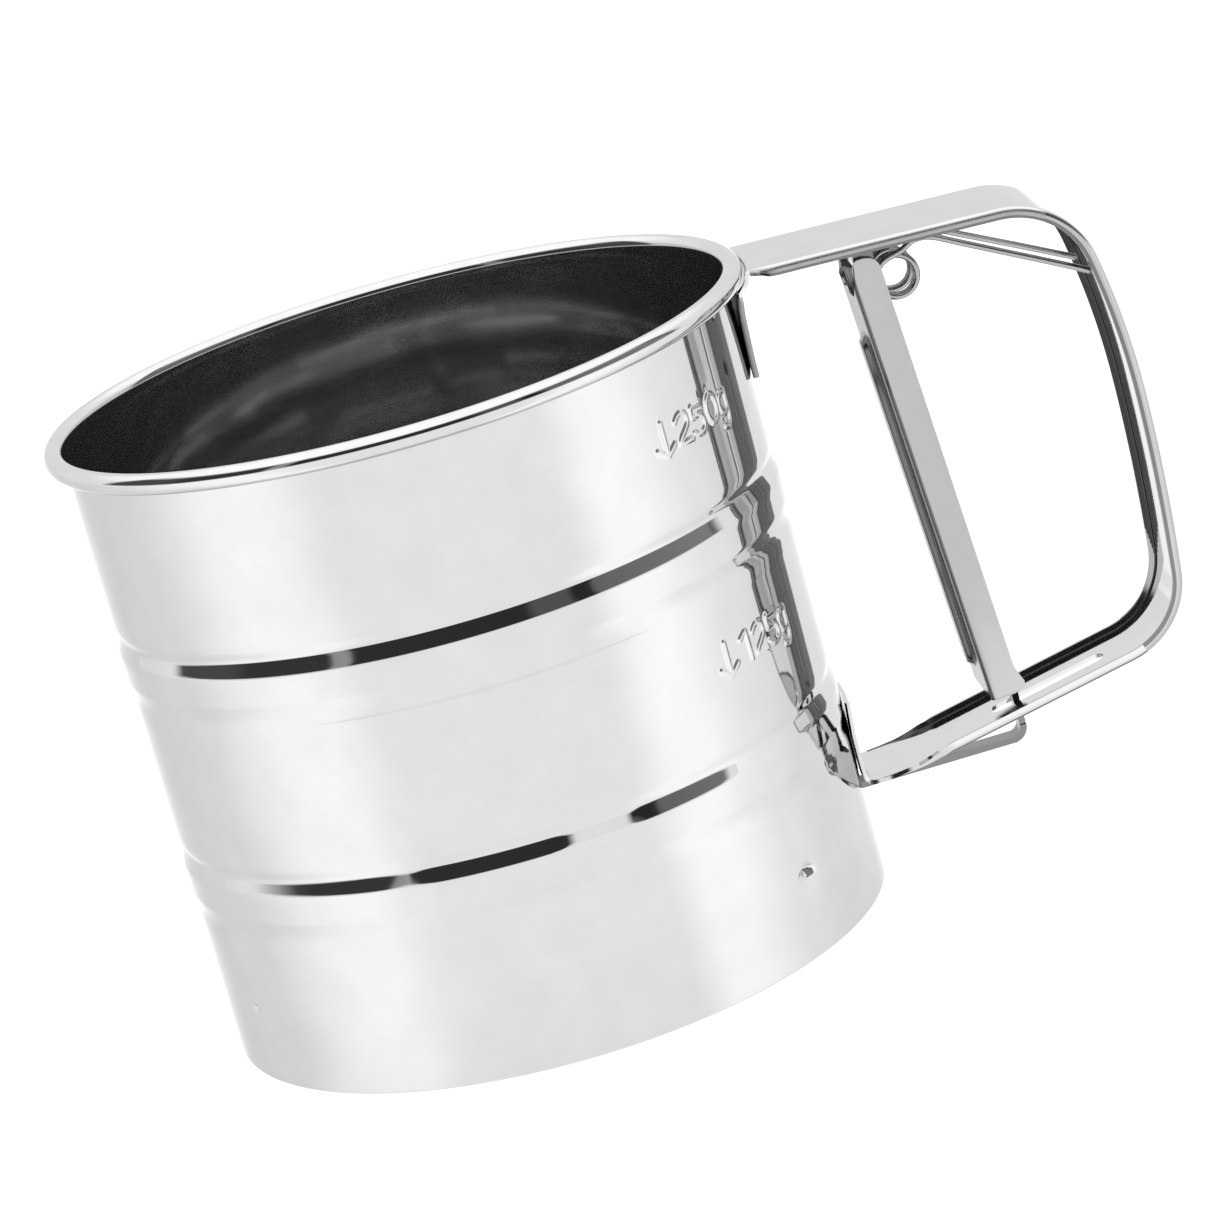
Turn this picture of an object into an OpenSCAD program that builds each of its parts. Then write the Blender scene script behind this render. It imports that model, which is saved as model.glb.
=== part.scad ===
// One-hand squeeze sifter: a steel cup with a mesh bottom, a strap handle, a sprung trigger
// and a link that swings a four-armed agitator over the mesh.
// Origin: centre of the cup's base. +Z is up the cup, +X runs out through the handle.

/* [Cup] */
// Outer radius of the cup wall
cup_r = 50; // [50:0.5:50]
// Height from the base to the top of the rim
cup_h = 96; // [92:1:100]
// Sheet thickness of the wall
wall_t = 0.4; // [0.3:0.1:0.5]
// Radius of the rolled rim's tube
rim_r = 1.55; // [1.2:0.05:1.6]
// Height of the upper bead's top groove
upper_bead_z = 66.2; // [60:0.2:70]
// Height of the lower bead's top groove
lower_bead_z = 33; // [31:0.2:36]

/* [Handle] */
// Sheet thickness of the strap
strap_t = 0.6; // [0.5:0.1:0.7]
// Depth of the strap's folded edges
lip_depth = 1.3; // [1:0.1:1.5]
// Width of the strap at the height of the cup's base
strap_w_low = 15.3; // [14:0.1:16]
// Growth of the strap's width per millimetre of height
strap_taper = 0.055; // [0.04:0.005:0.06]

/* [Trigger] */
// Width of the trigger channel
trigger_w = 15.4; // [15:0.2:15.8]
// Depth of the trigger channel
trigger_d = 4.7; // [4.5:0.1:4.8]
// Sheet thickness of the trigger channel
trigger_t = 0.7; // [0.6:0.1:0.7]
// Lean of the resting trigger away from the cup, in degrees
trigger_lean = 3.65; // [3.5:0.05:3.8]

/* [Mechanism] */
// Distance of the crank pin from the cup's axis
crank_r = 12; // [11.8:0.1:12.1]
// Half of the agitator's swing, in degrees
half_swing = 31.1; // [30.8:0.1:31.4]
// Reach of the agitator's arms
blade_r = 44.8; // [43:0.1:45]
// Diameter of the spring wire
wire_d = 1; // [0.8:0.1:1]
// Mean radius of the spring's coils
coil_r = 3.1; // [3:0.1:3.2]

/* [Hidden] */
$fn = 96;
steel = [0.80, 0.80, 0.81];
bright = [0.86, 0.86, 0.87];
dark = [0.58, 0.58, 0.60];
wire_grey = [0.66, 0.66, 0.67];
eps = 0.01;

// Stack inside the foot of the cup, bottom to top
flange_r = 47.8;          // inner edge of the base flange
ring_in = 45.5;           // inner edge of the two mesh rings
ring_out = 49.4;          // outer edge of the clamp ring
frame_out = 49.5;         // outer edge of the sieve frame
clamp_z = wall_t;         // the clamp ring rests on the base flange
clamp_h = 1.4;
mesh_z = clamp_z + clamp_h;
mesh_t = 0.6;
frame_z = mesh_z + mesh_t;
frame_t = 0.4;
frame_floor = 0.5;
frame_top = 8.8;
bar_t = 0.8;
bar_w = 8;
bar_half = 48.8;

// Centre stud and what turns on it
stud_r = 2;
fit = 0.05;               // clearance of a pin in its hole
hub_z = 4.1;
blade_t = 0.8;
blade_w = 9;
lower_blade_z = hub_z + 0.5;
upper_blade_z = lower_blade_z + blade_t;
hub_neck_r = 3;
hub_top = upper_blade_z + blade_t;
stud_top = 10.4;
cap_z = 9.05;

// Link and crank
link_z = 11.7;
link_t = 1;
link_w = 5;                // width inside the cup
link_out_w = 3.4;          // width outside the cup
tongue_w = 2.8;           // width of the link where it passes the strap's slot
crank_az = -90 - half_swing;
crank_pin_r = 1.5;
link_play = 0.35;         // play of the crank pin in the link's slot
eye_y = -crank_r * (1 + cos(half_swing)) / 2;
eye_x = -crank_r * sin(half_swing);
eye_run = crank_r * (1 - cos(half_swing)) / 2;

// Pivots, as distance from the cup's axis and height
hinge = [69.7, 88.9];
hinge_r = 1.2;
link_pivot = [74.3, 24.6];
link_pivot_r = 1.1;
coil_c = [74.2, 86];

// Handle strap: start of its top face, its heading, and the runs that follow
strap_start = [55.2, 94.35];
strap_heading = -2.5;
// Each run is [straight length, 0] or [bend radius, degrees turned]
strap_runs = [[34.8, 0], [13.5, 76.5], [120, 11], [300, 5.2], [12.6, 73.9], [33.2, 0], [30, 7.4], [4.2, 0]];
tab_gap = 0.03;           // clearance between a tab and the wall
slot_from = 71.6;
slot_to = 90.2;
slot_r = 1.7;

// Width of the strap at a height
function strap_w(z) = strap_w_low + strap_taper * z;

// Points along one run, which starts at p with heading h, at depth d inside the outer face
function run_points(p, h, run, d) =
    run[1] == 0 ? [p + run[0] * [cos(h), sin(h)]] :
    let (r = run[0] - d, c = p + r * [cos(h - 90), sin(h - 90)], n = ceil(run[1] / 6))
    [for (i = [1:n]) let (a = h + 90 - run[1] * i / n) c + r * [cos(a), sin(a)]];

// Points along all the runs from number k on
function strap_line(p, h, d, k = 0) =
    k == len(strap_runs) ? [p] :
    let (pts = run_points(p, h, strap_runs[k], d), last = len(pts) - 1)
    concat([p], [for (i = [0:1:last - 1]) pts[i]], strap_line(pts[last], h - strap_runs[k][1], d, k + 1));

function strap_offset_line(d) =
    strap_line(strap_start + d * [cos(strap_heading - 90), sin(strap_heading - 90)], strap_heading, d);

function reversed(v) = [for (i = [len(v) - 1:-1:0]) v[i]];

// Side view of a strip that follows the strap between two depths
module strap_band(d0, d1) {
    polygon(concat(strap_offset_line(d0), reversed(strap_offset_line(d1))));
}

// Side view drawn in X and Z, made a solid of a width in Y
module side_extrude(w) {
    rotate([90, 0, 0]) linear_extrude(w, center = true) children();
}

// Prism as wide as the strap at every height, less a margin each side
module strap_width_prism(margin) {
    z1 = 100;
    rotate([90, 0, 90]) linear_extrude(120)
        polygon([[-strap_w(0) / 2 + margin, 0], [strap_w(0) / 2 - margin, 0],
                 [strap_w(z1) / 2 - margin, z1], [-strap_w(z1) / 2 + margin, z1]]);
}

// Outer face of the wall across a bead whose top groove is at height z
function bead(z) = [[cup_r, z - 11.2], [cup_r - 0.2, z - 9.8], [cup_r - 0.28, z - 8.7],
                    [cup_r - 0.1, z - 7.6], [cup_r + 0.2, z - 5.9], [cup_r + 0.2, z - 2.4],
                    [cup_r + 0.1, z - 1.7], [cup_r - 0.3, z - 0.5], [cup_r - 0.38, z],
                    [cup_r - 0.25, z + 0.5], [cup_r, z + 0.9]];

wall_line = concat([[cup_r, 0.2]], bead(lower_bead_z), bead(upper_bead_z));

// Inward dimples that hold the sieve frame down: azimuths round the wall
dimple_azimuths = [-43.7, -156, 76];
dimple_z = 11.3;
dimple_ball = 4;
dimple_depth = 0.75;

// Points of an arc about c, from one angle to another
function arc(c, r, from, to, n) = [for (i = [0:n]) let (a = from + (to - from) * i / n) c + r * [cos(a), sin(a)]];

// Half section of the cup: base flange, wall and the rolled rim, which ends just short of the wall
module wall_profile() {
    curl = [cup_r - wall_t + rim_r, cup_h - rim_r];
    curl_end = -118;
    steps = 30;
    outer = concat([[flange_r, 0], [cup_r - 0.2, 0]], wall_line, arc(curl, rim_r - wall_t, 180, curl_end, steps));
    inner = concat([for (p = wall_line) if (p[1] > 1) p - [wall_t, 0]], arc(curl, rim_r, 180, curl_end, steps));
    polygon(concat(outer, reversed(inner), [[cup_r - wall_t, wall_t], [flange_r, wall_t]]));
}

module dimple_ball_at(a, r) {
    rotate(a) translate([cup_r + dimple_ball - dimple_depth, 0, dimple_z]) sphere(r);
}

module cup_body() {
    color(bright) difference() {
        union() {
            rotate_extrude($fn = 180) wall_profile();
            for (a = dimple_azimuths) intersection() {
                dimple_ball_at(a, dimple_ball + wall_t);
                cylinder(h = 20, r = cup_r - wall_t / 2, $fn = 180);
            }
        }
        for (a = dimple_azimuths) dimple_ball_at(a, dimple_ball);
        translate([cup_r - 3, -3.4, link_z - 0.8]) cube([5, 6.8, 2.6]);
    }
}

module sieve_frame() {
    color(steel) rotate_extrude($fn = 180) {
        translate([ring_in, frame_z]) square([frame_out - ring_in, frame_floor]);
        translate([frame_out - frame_t, frame_z]) square([frame_t, frame_top - frame_z]);
    }
}

module sieve_mesh() {
    color(dark) translate([0, 0, mesh_z]) difference() {
        cylinder(h = mesh_t, r = ring_out, $fn = 180);
        translate([0, 0, -1]) cylinder(h = 3, r = stud_r + fit);
    }
}

module mesh_clamp_ring() {
    color(steel) difference() {
        translate([0, 0, clamp_z]) rotate_extrude($fn = 180)
            translate([ring_in, 0]) square([ring_out - ring_in, clamp_h]);
        translate([-bar_half - 0.1, -bar_w / 2 - 0.1, mesh_z - bar_t]) cube([2 * bar_half + 0.2, bar_w + 0.2, 2]);
    }
}

module support_bar() {
    color(steel) translate([0, 0, mesh_z - bar_t]) difference() {
        intersection() {
            translate([-bar_half, -bar_w / 2, 0]) cube([2 * bar_half, bar_w, bar_t]);
            cylinder(h = bar_t, r = bar_half, $fn = 180);
        }
        translate([0, 0, -1]) cylinder(h = 3, r = stud_r + fit);
    }
}

module centre_stud() {
    color(bright) {
        translate([0, 0, mesh_z - bar_t - 0.7]) cylinder(h = 0.7, r = 4);
        translate([0, 0, mesh_z - bar_t - 0.1]) cylinder(h = stud_top - mesh_z + bar_t + 0.1, r = stud_r);
    }
}

module stud_spacer() {
    color(steel) translate([0, 0, frame_z]) difference() {
        cylinder(h = hub_z - frame_z - fit, r = 5);
        translate([0, 0, -1]) cylinder(h = 5, r = stud_r + fit);
    }
}

// Domed push-on cap that keeps the agitator on its stud
module stud_cap() {
    cap_r = 3.6;
    color(bright) translate([0, 0, cap_z]) difference() {
        union() {
            cylinder(h = 1.1, r = cap_r);
            translate([0, 0, 1.1]) intersection() {
                translate([0, 0, -4.6]) sphere(5.84);
                cylinder(h = 3, r = cap_r);
            }
        }
        translate([0, 0, -1]) cylinder(h = 1 + stud_top - cap_z + fit, r = stud_r + fit / 2);
    }
}

module weld_pad(z) {
    intersection() {
        translate([cup_r - 0.6, 0, z]) rotate([0, 90, 0]) cylinder(h = 0.9, r = 1.8);
        difference() {
            translate([cup_r - 1, -3, z - 3]) cube([2, 6, 6]);
            translate([0, 0, z - 4]) cylinder(h = 8, r = cup_r, $fn = 180);
        }
    }
}

// Side views of the two end tabs that lie along the wall
module strap_tabs() {
    face = cup_r + tab_gap;
    lead = strap_offset_line(0)[0];
    under = strap_offset_line(strap_t)[0];
    polygon([[face, 78.8], [face, 84], [52.95, 92.5], [53.15, 93.5], [53.9, 94.25], lead, under,
             [54.3, 93.7], [53.75, 93.2], [53.55, 92.4], [face + strap_t, 83.8], [face + strap_t, 78.8]]);
    tail = reversed(strap_offset_line(0))[0];
    over = reversed(strap_offset_line(strap_t))[0];
    polygon([tail, [51.1, tail[1] + 0.05], [50.4, tail[1] + 0.45], [face, tail[1] + 1.4], [face, 22],
             [face + 0.42, 27.2], [face + 0.42 + strap_t, 27.2], [face + strap_t, 21.9],
             [face + strap_t, tail[1] + 1.5], [50.9, tail[1] + 0.95], [51.4, tail[1] + 0.68], over]);
}

module handle_strap() {
    color(bright) difference() {
        union() {
            intersection() {
                side_extrude(24) union() {
                    strap_band(0, strap_t);
                    strap_tabs();
                }
                strap_width_prism(0);
            }
            difference() {
                intersection() {
                    side_extrude(24) strap_band(strap_t - eps, strap_t + lip_depth);
                    strap_width_prism(0);
                }
                strap_width_prism(strap_t);
            }
            weld_pad(81);
            weld_pad(19);
        }
        for (x = [slot_from + slot_r, slot_to - slot_r]) translate([x, 0, 10]) cylinder(h = 16, r = slot_r);
        translate([slot_from + slot_r, -slot_r, 10]) cube([slot_to - slot_from - 2 * slot_r, 2 * slot_r, 16]);
    }
}

// Clevis under the strap: a plate and two ears that carry the hinge pin
module hinge_bracket() {
    ear_t = 0.7;
    ear_in = trigger_w / 2 - trigger_t - 0.3 - ear_t;
    under = strap_offset_line(strap_t)[0];
    slope = tan(strap_heading);
    function roof(x) = under[1] + (x - under[0]) * slope;
    color(steel) difference() {
        union() {
            side_extrude(2 * (ear_in + ear_t))
                polygon([[64.5, roof(64.5)], [76, roof(76)], [76, roof(76) - 0.8], [64.5, roof(64.5) - 0.8]]);
            for (s = [-1, 1]) translate([0, s * (ear_in + ear_t / 2), 0]) side_extrude(ear_t) union() {
                polygon([[66.6, roof(66.6) - 0.4], [72.4, roof(72.4) - 0.4], [71.2, 91.6], [71.2, hinge[1]],
                         [68.2, hinge[1]], [68.2, 91.6]]);
                translate(hinge) circle(2);
            }
        }
        translate([hinge[0], 0, hinge[1]]) rotate([90, 0, 0]) cylinder(h = 20, r = hinge_r + fit, center = true);
    }
}

module hinge_pin() {
    color(bright) translate([hinge[0], 0, hinge[1]]) rotate([90, 0, 0])
        cylinder(h = trigger_w - 2 * socket_skin - 0.1, r = hinge_r, center = true);
}

// Trigger frame: origin on the hinge, +X out of the channel, -Z down the trigger
module on_trigger() {
    translate([hinge[0], 0, hinge[1]]) rotate([0, -trigger_lean, 0]) children();
}

trigger_back = -2.65;     // outer face of the web, from the hinge
trigger_len = 68.1;
ear_top = 2.1;
web_top = 4.1;
socket_skin = 0.25;       // sheet left outside the pin sockets in the flanges

module channel_section() {
    fold = 1.2;
    front = trigger_back + trigger_d;
    difference() {
        union() {
            translate([trigger_back + fold, -trigger_w / 2]) square([trigger_d - fold, trigger_w]);
            translate([trigger_back, -trigger_w / 2 + fold]) square([fold + eps, trigger_w - 2 * fold]);
            for (s = [-1, 1]) translate([trigger_back + fold, s * (trigger_w / 2 - fold)]) circle(fold);
        }
        translate([trigger_back + trigger_t, -trigger_w / 2 + trigger_t])
            square([front + 5, trigger_w - 2 * trigger_t]);
    }
}

module trigger_channel() {
    rib_half = 2.5;
    rib_from = 10.2;
    rib_to = 64.2;
    rib_proud = 0.9;
    ear_r = 2.3;
    front = trigger_back + trigger_d;
    foot_z = -trigger_len + 1.6;
    color(bright) difference() {
        on_trigger() union() {
            difference() {
                translate([0, 0, -trigger_len]) linear_extrude(trigger_len + ear_top) channel_section();
                translate([trigger_back - 1, -trigger_w / 2 + trigger_t, -web_top])
                    cube([3, trigger_w - 2 * trigger_t, 10]);
                side_extrude(20) difference() {
                    translate([front - ear_r, ear_top - ear_r]) square([4, 4]);
                    translate([front - ear_r, ear_top - ear_r]) circle(ear_r);
                }
            }
            for (s = [-1, 1]) translate([0, s * (trigger_w - trigger_t) / 2, 0]) side_extrude(trigger_t)
                polygon([[front - 2, -trigger_len], [front, -trigger_len], [front + 1.2, foot_z - 0.3],
                         [front + 1.3, foot_z + 0.2], [front, foot_z + 2.4], [front - 2, foot_z + 2.4]]);
            for (z = [-rib_from - rib_half, -rib_to + rib_half])
                translate([trigger_back - rib_proud, 0, z]) rotate([0, 90, 0])
                    cylinder(h = rib_proud + trigger_t / 2, r = rib_half);
            translate([trigger_back - rib_proud, -rib_half, -rib_to + rib_half])
                cube([rib_proud + trigger_t / 2, 2 * rib_half, rib_to - rib_from - 2 * rib_half]);
        }
        translate([hinge[0], 0, hinge[1]]) rotate([90, 0, 0])
            cylinder(h = trigger_w - 2 * socket_skin, r = hinge_r + fit + 0.02, center = true);
        translate([link_pivot[0], 0, link_pivot[1]]) rotate([90, 0, 0])
            cylinder(h = trigger_w - 2 * socket_skin, r = link_pivot_r + fit / 2, center = true);
    }
}

module link_pin() {
    color(bright) translate([link_pivot[0], 0, link_pivot[1]]) rotate([90, 0, 0])
        cylinder(h = trigger_w - 2 * socket_skin - 0.1, r = link_pivot_r, center = true);
}

// Two sleeves that keep the link in the middle of the channel
module link_spacers() {
    from = tongue_w / 2 + 0.3;
    to = trigger_w / 2 - trigger_t - fit;
    color(steel) for (s = [-1, 1]) translate([link_pivot[0], s * (from + to) / 2, link_pivot[1]]) rotate([90, 0, 0])
        difference() {
            cylinder(h = to - from, r = 1.7, center = true);
            cylinder(h = 10, r = link_pivot_r + fit, center = true);
        }
}

module link_plan() {
    bend_x = 13;
    translate([bend_x, -link_out_w / 2]) square([link_pivot[0] - bend_x, link_out_w]);
    polygon([[bend_x, -link_w / 2], [42, -link_w / 2], [45, -link_out_w / 2],
             [45, link_out_w / 2], [42, link_w / 2], [bend_x, link_w / 2]]);
    polygon([[bend_x + 3, link_w / 2], [bend_x + 3, -link_w / 2], [3, eye_y - link_w / 2],
             [eye_x, eye_y - link_w / 2], [eye_x, eye_y + link_w / 2], [1, eye_y + link_w / 2],
             [bend_x, link_w / 2]]);
    for (s = [-1, 1]) translate([eye_x, eye_y + s * eye_run]) circle(3.6);
}

module link_bar() {
    knuckle_r = 1.9;
    tongue_x = link_pivot[0] + knuckle_r;
    bend_r = 2.4;
    color(steel) difference() {
        union() {
            translate([0, 0, link_z]) linear_extrude(link_t) link_plan();
            side_extrude(link_out_w) intersection() {
                translate([tongue_x - bend_r, link_z + bend_r]) difference() {
                    circle(bend_r);
                    circle(bend_r - link_t);
                }
                translate([tongue_x - bend_r, link_z]) square([bend_r, bend_r]);
            }
            translate([tongue_x - link_t, -tongue_w / 2, link_z + bend_r - eps])
                cube([link_t, tongue_w, link_pivot[1] - link_z - bend_r + eps]);
            translate([link_pivot[0], 0, link_pivot[1]]) rotate([90, 0, 0])
                cylinder(h = tongue_w, r = knuckle_r, center = true);
        }
        translate([link_pivot[0], 0, link_pivot[1]]) rotate([90, 0, 0])
            cylinder(h = 10, r = link_pivot_r + fit + 0.02, center = true);
        for (s = [-1, 1]) translate([eye_x, eye_y + s * eye_run, link_z - 1]) cylinder(h = 4, r = crank_pin_r + link_play);
        translate([eye_x - crank_pin_r - link_play, eye_y - eye_run, link_z - 1])
            cube([2 * (crank_pin_r + link_play), 2 * eye_run, 4]);
    }
}

module agitator_hub() {
    color(bright) difference() {
        union() {
            translate([0, 0, hub_z]) cylinder(h = lower_blade_z - hub_z, r = 5.2);
            translate([0, 0, hub_z]) cylinder(h = hub_top - hub_z + 0.6, r = hub_neck_r);
            translate([0, 0, hub_top]) cylinder(h = 0.6, r = 3.9);
            translate([0, 0, hub_top]) cylinder(h = cap_z - hub_top - fit, r = 2.8);
        }
        translate([0, 0, hub_z - 1]) cylinder(h = 8, r = stud_r + fit + 0.01);
    }
}

// A pressed arm pair: a flat strip with one edge of each half turned down to sweep the mesh
module blade(z) {
    sweep_z = 3.3;
    root_x = 15;
    difference() {
        intersection() {
            union() {
                translate([-blade_r, -blade_w / 2, z]) cube([2 * blade_r, blade_w, blade_t]);
                for (s = [0, 180]) rotate(s) translate([root_x, blade_w / 2 - blade_t, sweep_z])
                    cube([blade_r - root_x, blade_t, z - sweep_z + eps]);
            }
            cylinder(h = 20, r = blade_r, $fn = 180);
        }
        translate([0, 0, z - 1]) cylinder(h = 4, r = hub_neck_r + fit);
    }
}

module lower_blade() {
    color(steel) difference() {
        rotate(crank_az) blade(lower_blade_z);
        rotate(crank_az) translate([crank_r, 0, 0]) cylinder(h = 20, r = crank_pin_r + fit);
    }
}

module upper_blade() {
    color(steel) rotate(crank_az + 90) blade(upper_blade_z);
}

module crank_pin() {
    color(bright) rotate(crank_az) translate([crank_r, 0, 0]) {
        translate([0, 0, lower_blade_z - 0.8]) cylinder(h = 0.8, r = 2.6);
        translate([0, 0, lower_blade_z - 0.1]) cylinder(h = 9.9, r = crank_pin_r);
        translate([0, 0, lower_blade_z + blade_t]) cylinder(h = 0.6, r = 2.4);
    }
}

module crank_pin_cap() {
    color(bright) rotate(crank_az) translate([crank_r, 0, link_z + link_t + 0.45]) difference() {
        cylinder(h = 1, r = 2.9);
        translate([0, 0, -1]) cylinder(h = 3, r = crank_pin_r + fit / 2);
    }
}

// Return spring: two coils across the channel, two legs to the back of the handle and
// one loop that presses on the inside of the trigger's web
coil_out = 3.6;
coil_in = 1.5;
coil_turn = 775;
turn_step = 25;

function coil_point(a) =
    [coil_c[0] + coil_r * cos(-a), -coil_out + (coil_out - coil_in) * a / coil_turn, coil_c[1] + coil_r * sin(-a)];

half_wire = concat(
    [[101.6, -5.5, 79.2], [93, -5.1, 83.8], [84.1, -4.5, 88.5], [80.2, -4.2, 90.5], [79.2, -4.1, 90.9],
     [78.4, -4, 90.6], [78, -3.9, 89.8], [77.6, -3.75, 88]],
    [for (a = [0:turn_step:coil_turn]) coil_point(a)],
    [[72.2, -1.4, 81.4], [70.1, -1.35, 79.7], [69.6, -1.3, 78.6], [69.75, -1.25, 76], [70.1, -1.2, 71.4], [70.2, -0.8, 70.4]]);

wire_path = concat(half_wire, [for (p = reversed(half_wire)) [p[0], -p[1], p[2]]]);
wire_sides = 8;

function unit(v) = v / norm(v);

module wire_tube(path, r, sides) {
    last = len(path) - 1;
    pts = [for (i = [0:last])
        let (t = unit(path[min(i + 1, last)] - path[max(i - 1, 0)]),
             u = unit(cross(t, [0.05, 1, 0.03])), v = cross(t, u))
        for (k = [0:sides - 1]) let (a = 360 * k / sides) path[i] + r * (cos(a) * u + sin(a) * v)];
    walls = [for (i = [0:last - 1]) for (k = [0:sides - 1]) let (n = (k + 1) % sides)
        [i * sides + k, i * sides + n, (i + 1) * sides + n, (i + 1) * sides + k]];
    polyhedron(pts, concat([[for (k = [sides - 1:-1:0]) k]], walls, [[for (k = [0:sides - 1]) last * sides + k]]));
}

module return_spring() {
    color(wire_grey) wire_tube(wire_path, wire_d / 2, wire_sides);
}

cup_body();
sieve_frame();
sieve_mesh();
mesh_clamp_ring();
support_bar();
centre_stud();
stud_spacer();
stud_cap();
handle_strap();
hinge_bracket();
hinge_pin();
return_spring();
trigger_channel();
link_pin();
link_spacers();
link_bar();
agitator_hub();
lower_blade();
upper_blade();
crank_pin();
crank_pin_cap();
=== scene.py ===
import math

import bmesh
import bpy
import numpy as np
from mathutils import Matrix, Vector

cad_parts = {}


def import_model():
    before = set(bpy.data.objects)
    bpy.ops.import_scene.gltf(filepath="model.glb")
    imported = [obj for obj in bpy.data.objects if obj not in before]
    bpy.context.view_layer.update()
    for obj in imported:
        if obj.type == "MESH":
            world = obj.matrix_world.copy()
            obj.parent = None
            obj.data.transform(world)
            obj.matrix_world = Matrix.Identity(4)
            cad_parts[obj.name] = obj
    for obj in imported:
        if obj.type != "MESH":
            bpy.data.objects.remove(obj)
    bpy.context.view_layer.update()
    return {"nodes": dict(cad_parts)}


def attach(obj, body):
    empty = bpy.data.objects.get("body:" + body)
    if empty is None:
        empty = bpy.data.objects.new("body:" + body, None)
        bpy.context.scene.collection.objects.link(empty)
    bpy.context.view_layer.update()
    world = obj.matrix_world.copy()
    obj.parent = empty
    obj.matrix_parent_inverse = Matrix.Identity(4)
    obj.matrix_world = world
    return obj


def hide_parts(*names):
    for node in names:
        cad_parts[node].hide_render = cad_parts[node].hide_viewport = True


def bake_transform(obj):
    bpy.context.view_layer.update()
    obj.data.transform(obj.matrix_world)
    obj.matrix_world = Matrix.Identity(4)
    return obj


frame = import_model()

MM = 0.001


# ---------------------------------------------------------------- node helpers

def new_material(name):
    """A node material, with its tree and its Principled shader."""
    m = bpy.data.materials.new(name)
    m.use_nodes = True
    return m, m.node_tree, m.node_tree.nodes["Principled BSDF"]


def add(nt, kind, inputs=None, **settings):
    """A node with these settings and input values."""
    n = nt.nodes.new(kind)
    for k, v in settings.items():
        setattr(n, k, v)
    for k, v in (inputs or {}).items():
        n.inputs[k].default_value = v
    return n


def map_range(nt, value, source, target, **settings):
    inputs = {"From Min": source[0], "From Max": source[1], "To Min": target[0], "To Max": target[1]}
    n = add(nt, "ShaderNodeMapRange", inputs, **settings)
    nt.links.new(value, n.inputs["Value"])
    return n.outputs["Result"]


def noise(nt, vector, scale, detail, rough=0.5):
    n = add(nt, "ShaderNodeTexNoise", {"Scale": scale, "Detail": detail, "Roughness": rough})
    nt.links.new(vector, n.inputs["Vector"])
    return n.outputs["Fac"]


def bump(nt, height, depth):
    """A bump node for this height, depth in mm."""
    n = add(nt, "ShaderNodeBump", {"Strength": 1.0, "Distance": depth * MM})
    nt.links.new(height, n.inputs["Height"])
    return n


def ramp(nt, source, stops):
    """A colour ramp through (position, colour) stops."""
    r = add(nt, "ShaderNodeValToRGB")
    elements = r.color_ramp.elements
    for i, (position, colour) in enumerate(stops):
        element = elements[i] if i < 2 else elements.new(position)
        element.position = position
        element.color = (*colour, 1)
    nt.links.new(source, r.inputs["Fac"])
    return r.outputs["Color"]


# ---------------------------------------------------------------- materials

# How fine the polishing lines are along x, y and z: a small figure is a long line
ON_CUP, ON_STRAP, ON_TRIGGER = (0.3, 0.3, 3.0), (0.4, 2.5, 0.4), (2.0, 2.0, 0.3)
ALONG_X, ON_LINK, FINE = (0.5, 3.0, 3.0), (0.4, 3.0, 3.0), (3.0, 3.0, 3.0)
MOTTLE = 0.04                    # how much darker the darkest clouds of the surface are


def steel(name, grey, rough, wave=0.0, wave_scale=200.0, lines=0.0006, stretch=FINE, metal=1.0,
          blue=0.005):
    """Polished or satin steel: light mottling, slow waves from the rolling, and fine polishing lines.

    It is a grey with this much more blue.
    """
    m, nt, b = new_material(name)
    link = nt.links.new
    coord = add(nt, "ShaderNodeTexCoord").outputs["Object"]
    colour = np.array([grey, grey, grey + blue])
    cloud = noise(nt, coord, 140.0, 3.0, 0.55)
    tone = ramp(nt, cloud, [(0.3, colour * (1 - MOTTLE)), (0.7, colour * (1 + MOTTLE * 0.4))])
    link(tone, b.inputs["Base Color"])
    b.inputs["Metallic"].default_value = metal
    b.inputs["Specular Tint"].default_value = (0.8, 0.8, 0.8, 1)
    stretched = add(nt, "ShaderNodeMapping", {"Scale": [g * 1000 for g in stretch]})
    link(coord, stretched.inputs["Vector"])
    polish = noise(nt, stretched.outputs["Vector"], 1.0, 4.0, 0.6)
    link(map_range(nt, polish, (0.3, 0.75), (rough * 0.8, rough * 1.3 + 0.01)), b.inputs["Roughness"])
    slow = bump(nt, noise(nt, coord, wave_scale, 1.5, 0.4), wave)
    fine = bump(nt, polish, lines)
    link(slow.outputs["Normal"], fine.inputs["Normal"])
    link(fine.outputs["Normal"], b.inputs["Normal"])
    return m


wall_steel = steel("polished_wall", 0.655, 0.045, wave=0.02, wave_scale=45, lines=0.0004, stretch=ON_CUP)
# the drawn inside: rougher, with stronger waves, and a darker grey that paints the shade inside the cup
inside_shade_steel = steel("drawn_inside_painted_shade", 0.48, 0.07, wave=0.22, wave_scale=38, stretch=ON_CUP, metal=0.95)
strap_steel = steel("polished_strap", 0.655, 0.06, wave=0.006, wave_scale=120, lines=0.0004,
                    stretch=ON_STRAP)
# a darker copy of the strap's steel: painted shade on the outer sides of the lips
lip_shade_steel = steel("strap_lip_painted_shade", 0.47, 0.08, wave=0.006, wave_scale=120, lines=0.0004, stretch=ON_STRAP)
# near black: painted shade on the inner sides of the folded lips
fold_shade_steel = steel("strap_fold_painted_shade", 0.10, 0.28, stretch=ON_STRAP, metal=0.9, blue=0.002)
# rougher, and a darker grey: painted shade on the tabs and along the top run's near edge
dull_shade_steel = steel("strap_dull_painted_shade", 0.44, 0.34, stretch=ON_STRAP, metal=0.94)
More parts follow.
